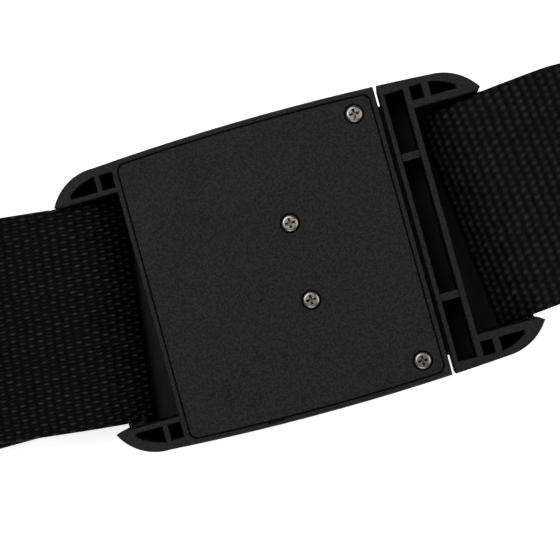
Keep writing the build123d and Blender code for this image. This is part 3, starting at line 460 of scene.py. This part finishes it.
# The slack loops don't lie square to the slots: the strap comes in at a slant on each side.
LEFT_SLANT = 0.117              # in radians
RIGHT_SLANT = -0.105
LEFT_SLANT_RUN = 34             # length over which the slant comes in
RIGHT_SLANT_RUN = 20
RIGHT_SLANT_X = 38              # where the right slant begins to fade
LEFT_LOOP = (-76.0, 0.95)       # a point that the slanted middle passes through
RIGHT_LOOP = (25.0, 0.65)
LEFT_LOOP_BACK = 3.95           # from a wall to the loop
RIGHT_LOOP_BACK = 3.45
LEFT_DIP = 11.9                 # from a wall to where the strap starts to dip
RIGHT_DIP = 12.0
EAR_GAP = 25.55                 # half of the free width between the ears


def left_sway(x, height):
    slanted = ease((x - LEFT_TURN_X) / LEFT_SLANT_RUN)
    own = LEFT_LOOP[1] - LEFT_SLANT * (x - LEFT_LOOP[0])
    return STACK_Y + slanted * (own - STACK_Y), LEFT_SLANT * slanted


def right_sway(x, height):
    slanted = 1 - ease((x - RIGHT_SLANT_X) / RIGHT_SLANT_RUN)
    own = RIGHT_LOOP[1] - RIGHT_SLANT * (x - RIGHT_LOOP[0])
    return RUN_Y + slanted * (own - RUN_Y), RIGHT_SLANT * slanted


def right_turn_sway(x, height):
    down = ease((RIGHT_RUN_HEIGHT - height) / (RIGHT_RUN_HEIGHT - LOWEST_LAYER))
    return RUN_Y + down * (STACK_Y - RUN_Y), 0 * x


def between_ears(inner_x, outer_x):
    """Presses the webbing's edges against the ears."""
    def trim(points):
        inside = (points[..., 0] > min(inner_x, outer_x)) & (points[..., 0] < max(inner_x, outer_x))
        pressed = np.clip(points[..., 1], -EAR_GAP, EAR_GAP)
        points[..., 1] = np.where(inside, pressed, points[..., 1])
        return points
    return trim


def add_left_run():
    loop_x = HOUSING_WALL - LEFT_LOOP_BACK
    line = rounded(
        [
            (LEFT_TURN_X, RUN_HEIGHT),
            (HOUSING_WALL - LEFT_DIP, RUN_HEIGHT),
            (loop_x, LOOP_TOP),
            (loop_x, LOOP_BOTTOM),
            (HOUSING_WALL - RETURN_BACK, LOOP_BOTTOM),
            (HOUSING_WALL - RETURN_BACK - SEWN_RISE, RUN_HEIGHT - LAYER_GAP),
            (SEWN_END_X, RUN_HEIGHT - LAYER_GAP),
        ],
        [DIP_R, 2.0, 1.5, 6, 8],
        FINE,
    )
    trim = between_ears(LEFT_EARS_X, HOUSING_WALL)
    piece, length = strap("strap_left_run", line, left_sway, 11, True, trim)
    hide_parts("webbing_left_run")
    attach(piece, "housing")


def half_turn(x, top, bottom, direction, step):
    """Half circle from a higher layer down to a lower one."""
    radius = (top - bottom) / 2
    angle = np.linspace(math.pi / 2, -math.pi / 2, 1 + round(math.pi * radius / step))
    middle = (top + bottom) / 2
    return np.column_stack((x + direction * radius * np.cos(angle), middle + radius * np.sin(angle)))


def add_turns():
    top_layer = LOWEST_LAYER + (LAYERS - 1) * LAYER_PITCH
    line = half_turn(LEFT_TURN_X, RUN_HEIGHT, top_layer, -1, COARSE)
    piece, length = strap("strap_left_turn", line, lambda x, h: (STACK_Y + 0 * x, 0 * x), 12)
    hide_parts("webbing_left_turn")
    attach(piece, "housing")

    line = half_turn(RIGHT_TURN_X, RIGHT_RUN_HEIGHT, LOWEST_LAYER, 1, COARSE)
    piece, length = strap("strap_right_turn", line, right_turn_sway, 13)
    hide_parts("webbing_right_turn")
    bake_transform(piece)


def add_stack():
    """Seven folded layers, each fold a little out of line with the next, in four pieces."""
    chance = np.random.RandomState(21)
    fold_y = chance.uniform(-1.0, 1.0, LAYERS - 1)
    fold_y[::2] = 1.6 + 0.4 * fold_y[::2]
    fold_in = chance.uniform(0.0, 3.5, LAYERS - 1)

    def fold_x(fold):
        if fold % 2 == 0:
            return LEFT_TURN_X + fold_in[fold]
        return STACK_RIGHT_X - fold_in[fold]

    def layer_ends(number):
        left = LEFT_TURN_X if number == LAYERS - 1 else fold_x(number if number % 2 == 0 else number - 1)
        if number == 0:
            right = RIGHT_TURN_X
        else:
            right = fold_x(number if number % 2 == 1 else number - 1)
        return left, right

    keeper_low, keeper_high = buckle_box("elastic_keeper")

    def layer_sway(number):
        left_y = 0 if number == LAYERS - 1 else fold_y[number if number % 2 == 0 else number - 1]
        right_y = 0 if number == 0 else fold_y[number if number % 2 == 1 else number - 1]

        def offset(x):
            to_left = ease((keeper_low[0] - x) / (keeper_low[0] - LEFT_TURN_X))
            to_right = ease((x - keeper_high[0]) / (STACK_RIGHT_X - keeper_high[0]))
            return STACK_Y + left_y * to_left + right_y * to_right
        return offset

    # One long line through all the layers, from the right-hand end of the lowest one.
    points, offsets = [], []
    for number in range(LAYERS):
        left, right = layer_ends(number)
        height = LOWEST_LAYER + number * LAYER_PITCH
        ends = (right, left) if number % 2 == 0 else (left, right)
        run = np.linspace(ends[0], ends[1], 1 + round(abs(left - right) / COARSE))
        points.append(np.column_stack((run, np.full(len(run), height))))
        offsets.append(layer_sway(number)(run))
        if number < LAYERS - 1:
            direction = -1 if number % 2 == 0 else 1
            turn = half_turn(ends[1], height + LAYER_PITCH, height, direction, COARSE / 3)[::-1][1:-1]
            points.append(turn)
            offsets.append(np.full(len(turn), offsets[-1][-1]))
    line, centre_y = np.concatenate(points), np.concatenate(offsets)
    cuts = np.linspace(0, len(line) - 1, STACK_PIECES + 1).astype(int)
    for number, (first, last) in enumerate(zip(cuts, cuts[1:]), start=1):
        part, part_y = line[first:last + 1], centre_y[first:last + 1]
        piece, length = strap(f"strap_fold_{number}", part, lambda x, h: (part_y, 0 * x), 20 + number)
        if number == 1:
            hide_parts("webbing_stack")
        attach(piece, "housing")


ADJUSTER_X = 67.0
ADJUSTER_HEIGHT = 12.4
BAR_HALF_T = 1.3                # half of the adjuster bar's thickness
WRAP = 0.25 + WEB_T / 2         # from the bar to the middle of the webbing on it
NEAR = 2.5 + WRAP               # from the bar's middle to the webbing beside it
FAR = 9.0                       # from the bar's middle to where the strap lies low again
ADJUSTER_CREST = ADJUSTER_HEIGHT + BAR_HALF_T + WRAP + LAYER_GAP
RETURN_X = TONGUE_WALL + RETURN_BACK - 1.0


def add_right_run():
    loop_x = TONGUE_WALL + RIGHT_LOOP_BACK
    line = rounded(
        [
            (RIGHT_TURN_X, RIGHT_RUN_HEIGHT),
            (ADJUSTER_X + FAR, RIGHT_RUN_HEIGHT),
            (ADJUSTER_X + NEAR, ADJUSTER_CREST),
            (ADJUSTER_X - NEAR, ADJUSTER_CREST),
            (ADJUSTER_X - FAR, RIGHT_RUN_HEIGHT),
            (ADJUSTER_X - 19, RIGHT_RUN_HEIGHT),
            (TONGUE_WALL + RIGHT_DIP + 9.5, RUN_HEIGHT),
            (TONGUE_WALL + RIGHT_DIP, RUN_HEIGHT),
            (loop_x, LOOP_TOP),
            (loop_x, LOOP_BOTTOM),
            (RETURN_X, LOOP_BOTTOM),
        ],
        [2.5, 2.0, 2.0, 2.5, 15, 15, DIP_R, 2.0, 1.5],
        FINE,
    )
    trim = between_ears(TONGUE_WALL, RIGHT_EARS_X)
    piece, length = strap("strap_right_run", line, right_sway, 31, True, trim)
    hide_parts("webbing_right_run")
    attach(piece, "tongue")


def add_adjuster_loop():
    low = RIGHT_RUN_HEIGHT - 2 * LAYER_GAP
    high = RIGHT_RUN_HEIGHT - LAYER_GAP
    under_bar = ADJUSTER_HEIGHT - BAR_HALF_T - WRAP
    line = rounded(
        [
            (RETURN_X, LOOP_BOTTOM),
            (RETURN_X + 5, LOOP_BOTTOM),
            (RETURN_X + 16, low),
            (ADJUSTER_X - 7.4, low),
            (ADJUSTER_X - 4.4, under_bar),
            (ADJUSTER_X + NEAR, under_bar),
            (ADJUSTER_X + NEAR, ADJUSTER_CREST - LAYER_GAP),
            (ADJUSTER_X - 2.7, ADJUSTER_CREST - LAYER_GAP),
            (ADJUSTER_X - 8.2, high),
            (34.0, high),
        ],
        [20, 20, 1.5, 1.5, 2.2, 2.2, 1.5, 2.0],
        COARSE,
    )
    trim = between_ears(TONGUE_WALL, RIGHT_EARS_X)
    piece, length = strap("strap_adjuster_loop", line, right_sway, 32, False, trim)
    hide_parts("webbing_adjuster_loop")
    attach(piece, "tongue")


add_left_run()
add_turns()
add_stack()
add_right_run()
add_adjuster_loop()

# ---- elastic keeper --------------------------------------------------------------------------------
BAND_T = 0.8
BAND_CORNER = 1.0
RIBS = 26                       # rubber cords across the band
RIB = 0.10
BAND_STEP = 0.5                 # step round the band
PICK_PITCH = 1.0
BAND_EDGE = 0.4


def add_keeper():
    low, high = buckle_box("elastic_keeper")
    half = (high - low) / 2 - BAND_T / 2
    centre = (high + low) / 2
    corners = [(1, 1), (-1, 1), (-1, -1), (1, -1)]
    path = []
    for (sign_y, sign_z), start in zip(corners, (0, 90, 180, 270)):
        for angle in np.radians(np.linspace(start, start + 90, 9)):
            y = sign_y * (half[1] - BAND_CORNER) + BAND_CORNER * math.cos(angle)
            z = sign_z * (half[2] - BAND_CORNER) + BAND_CORNER * math.sin(angle)
            path.append((y, z))
    path = np.array(path + path[:1])
    length = np.concatenate(([0], np.cumsum(np.linalg.norm(np.diff(path, axis=0), axis=1))))
    places = np.linspace(0, length[-1], round(length[-1] / BAND_STEP), endpoint=False)
    yz = np.column_stack([np.interp(places, length, path[:, k]) for k in (0, 1)])
    ahead = np.roll(yz, -1, axis=0) - np.roll(yz, 1, axis=0)
    ahead /= np.linalg.norm(ahead, axis=1)[:, None]
    zeros = np.zeros(len(yz))
    middle = np.column_stack((zeros + centre[0], yz[:, 0] + centre[1], yz[:, 1] + centre[2]))
    normal = np.column_stack((zeros, ahead[:, 1], -ahead[:, 0]))
    side = np.column_stack((zeros + 1, zeros, zeros))
    width = high[0] - low[0]

    def face(samples):
        across = np.linspace(0, width, RIBS * samples + 1)
        rib = np.abs(np.sin(math.pi * across / width * RIBS))[None, :]
        pick = 0.5 + 0.5 * np.cos(2 * math.pi * places / PICK_PITCH)[:, None]
        cloth = rib * (0.75 + 0.25 * pick)
        edge = np.minimum(1, np.minimum(across, width - across) / BAND_EDGE)[None, :]
        return across - width / 2, (BAND_T / 2 - RIB + RIB * cloth) * (0.3 + 0.7 * edge), cloth

    piece = build_strip("keeper_band", middle, normal, side, face(6), face(2), closed=True)
    piece.data.materials.append(ELASTIC)
    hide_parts("elastic_keeper")
    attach(piece, "housing")


add_keeper()

# ---- stitching of the sewn ends --------------------------------------------------------------------
STITCH_PITCH = 3.2
STITCH_LENGTH = 2.5
THREAD_R = 0.24
THREAD_TIP = 0.35               # radius of a stitch's ends, of 1 in its middle
THREAD_SINK = 0.30              # how deep a stitch's ends lie under the crests
THREAD_ARCH = 0.38              # how far its middle rises from there
THREAD_SIDES = 8
THREAD_RINGS = 8
SEWN_BOX_X = (-127.5, -106.0)
LOOP_BOX_X = (37.0, 55.0)
BOX_HALF = 21.0


def box_and_cross(x_from, x_to, half):
    """Lines of a box stitch with its cross, as pairs of (x, position across the strap)."""
    a, b, c, d = (x_from, -half), (x_to, -half), (x_to, half), (x_from, half)
    return [(a, b), (b, c), (c, d), (d, a), (a, c), (b, d)]


def add_stitch(bm, begin, direction, sway, height, facing):
    """One thread that comes out of the webbing, arches over it and goes back in."""
    rings = []
    for t in np.linspace(0, 1, THREAD_RINGS):
        x, across = begin + direction * STITCH_LENGTH * t
        centre_y, skew = (float(np.ravel(value)[0]) for value in sway(np.array([x]), None))
        swell = math.sin(math.pi * t)
        radius = THREAD_R * (THREAD_TIP + (1 - THREAD_TIP) * math.sqrt(swell))
        rise = CREST - THREAD_SINK + THREAD_ARCH * swell**0.5
        place = (x + across * math.sin(skew), centre_y + across * math.cos(skew), height + facing * rise)
        middle = Vector(place)
        along = Vector((direction[0], direction[1], 0))
        sideways = Vector((0, 0, 1)).cross(along)
        ring = []
        for angle in np.linspace(0, 2 * math.pi, THREAD_SIDES, endpoint=False):
            offset = math.cos(angle) * sideways + math.sin(angle) * Vector((0, 0, 1))
            ring.append(bm.verts.new((middle + radius * offset) * MM + Vector(ORIGIN)))
        rings.append(ring)
    for one, two in zip(rings, rings[1:]):
        for j in range(THREAD_SIDES):
            following = (j + 1) % THREAD_SIDES
            bm.faces.new((one[j], one[following], two[following], two[j]))
    bm.faces.new(rings[0][::-1])
    bm.faces.new(rings[-1])


def add_stitches(name, lines, sway, height, facing, body):
    """Threads lying on the webbing's face at a height; facing is 1 for its upper side."""
    bm = bmesh.new()
    for first, last in lines:
        first, last = np.array(first, float), np.array(last, float)
        span = np.linalg.norm(last - first)
        count = max(1, int(span / STITCH_PITCH))
        direction = (last - first) / span
        for k in range(count):
            begin = first + direction * (span * (k + 0.5) / count - STITCH_LENGTH / 2)
            add_stitch(bm, begin, direction, sway, height, facing)
    bmesh.ops.recalc_face_normals(bm, faces=bm.faces)
    mesh = bpy.data.meshes.new(name)
    bm.to_mesh(mesh)
    bm.free()
    mesh.polygons.foreach_set("use_smooth", [True] * len(mesh.polygons))
    mesh.materials.append(THREAD)
    piece = bpy.data.objects.new(name, mesh)
    bpy.context.scene.collection.objects.link(piece)
    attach(piece, body)


SEWN_BOX = box_and_cross(*SEWN_BOX_X, BOX_HALF)
add_stitches("stitches_left_top", SEWN_BOX, left_sway, RUN_HEIGHT, 1, "housing")
add_stitches("stitches_left_under", SEWN_BOX, left_sway, RUN_HEIGHT - LAYER_GAP, -1, "housing")
LOOP_BOX = box_and_cross(*LOOP_BOX_X, BOX_HALF)
add_stitches("stitches_loop_under", LOOP_BOX, right_sway, RIGHT_RUN_HEIGHT - 2 * LAYER_GAP, -1, "tongue")

# ---- digits on the number wheels -------------------------------------------------------------------
DIGITS = 10
DIGIT_SIZE = 3.3
DIGIT_RAISE = 0.05


def add_digits(number):
    """Digits 0 to 9 round a number wheel, read from the buckle's front."""
    low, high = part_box(f"number_wheel_{number}")
    centre = (low + high) / 2
    radius = (high.z - low.z) / 2
    bm = bmesh.new()
    for digit in range(DIGITS):
        text = bpy.data.curves.new("digit", "FONT")
        text.body = str(digit)
        text.size = DIGIT_SIZE * MM
        text.extrude = DIGIT_RAISE * MM
        text.align_x = "CENTER"
        text.align_y = "CENTER"
        holder = bpy.data.objects.new("digit", text)
        outline = bpy.data.meshes.new_from_object(holder)
        turn = Matrix.Rotation(2 * math.pi * digit / DIGITS, 3, "Y")
        up, out = turn @ Vector((1, 0, 0)), turn @ Vector((0, 0, -1))
        axes = Matrix((Vector((0, 1, 0)), up, out)).transposed().to_4x4()
        outline.transform(Matrix.Translation(centre + out * radius) @ axes)
        bm.from_mesh(outline)
        bpy.data.objects.remove(holder)
        bpy.data.curves.remove(text)
        bpy.data.meshes.remove(outline)
    mesh = bpy.data.meshes.new(f"digits_{number}")
    bm.to_mesh(mesh)
    bm.free()
    mesh.materials.append(INK)
    piece = bpy.data.objects.new(f"digits_{number}", mesh)
    bpy.context.scene.collection.objects.link(piece)
    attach(piece, f"number_wheel_{number}")


def digit_ink():
    """Pale printed ink, slightly uneven."""
    shader = Shader("digit_ink")
    wear = shader.noise(0.35, detail=4.0)
    shader.drive("Base Color", shader.ramp(wear, (0.25, 0.35), (0.6, 0.72)))
    shader.drive("Roughness", shader.ramp(wear, (0.3, 0.45), (0.7, 0.6)))
    return shader.material


INK = digit_ink()
for number in (1, 2, 3):
    add_digits(number)

# ---- floor and light -------------------------------------------------------------------------------
FLOOR_SIZE = 1.5
PANEL_SIZE = 0.8
WORLD_STRENGTH = 0.16


def add_floor():
    bm = bmesh.new()
    bmesh.ops.create_grid(bm, x_segments=8, y_segments=8, size=FLOOR_SIZE)
    mesh = bpy.data.meshes.new("floor")
    bm.to_mesh(mesh)
    bm.free()
    mesh.materials.append(floor_paint())
    floor = bpy.data.objects.new("floor", mesh)
    bpy.context.scene.collection.objects.link(floor)


def add_light(name, place, power):
    """Large soft panel that faces the buckle."""
    data = bpy.data.lights.new(name, "AREA")
    data.shape = "SQUARE"
    data.size = PANEL_SIZE
    data.energy = power
    data.color = (1.0, 0.995, 0.99)
    light = bpy.data.objects.new(name, data)
    aim = Vector(place) - Vector((0, 0, REAR_Z))
    light.matrix_world = Matrix.Translation(place) @ aim.to_track_quat("Z", "Y").to_matrix().to_4x4()
    bpy.context.scene.collection.objects.link(light)


add_floor()
add_light("key", (-0.35, 0.45, 1.10), 9)
add_light("fill", (0.80, -0.10, 0.90), 6)
add_light("back", (-0.30, -0.90, 0.80), 4)
world = bpy.data.worlds.new("studio")
world.use_nodes = True
world.node_tree.nodes["Background"].inputs["Color"].default_value = (1, 1, 1, 1)
world.node_tree.nodes["Background"].inputs["Strength"].default_value = WORLD_STRENGTH
bpy.context.scene.world = world
bpy.context.scene.view_settings.view_transform = "Standard"
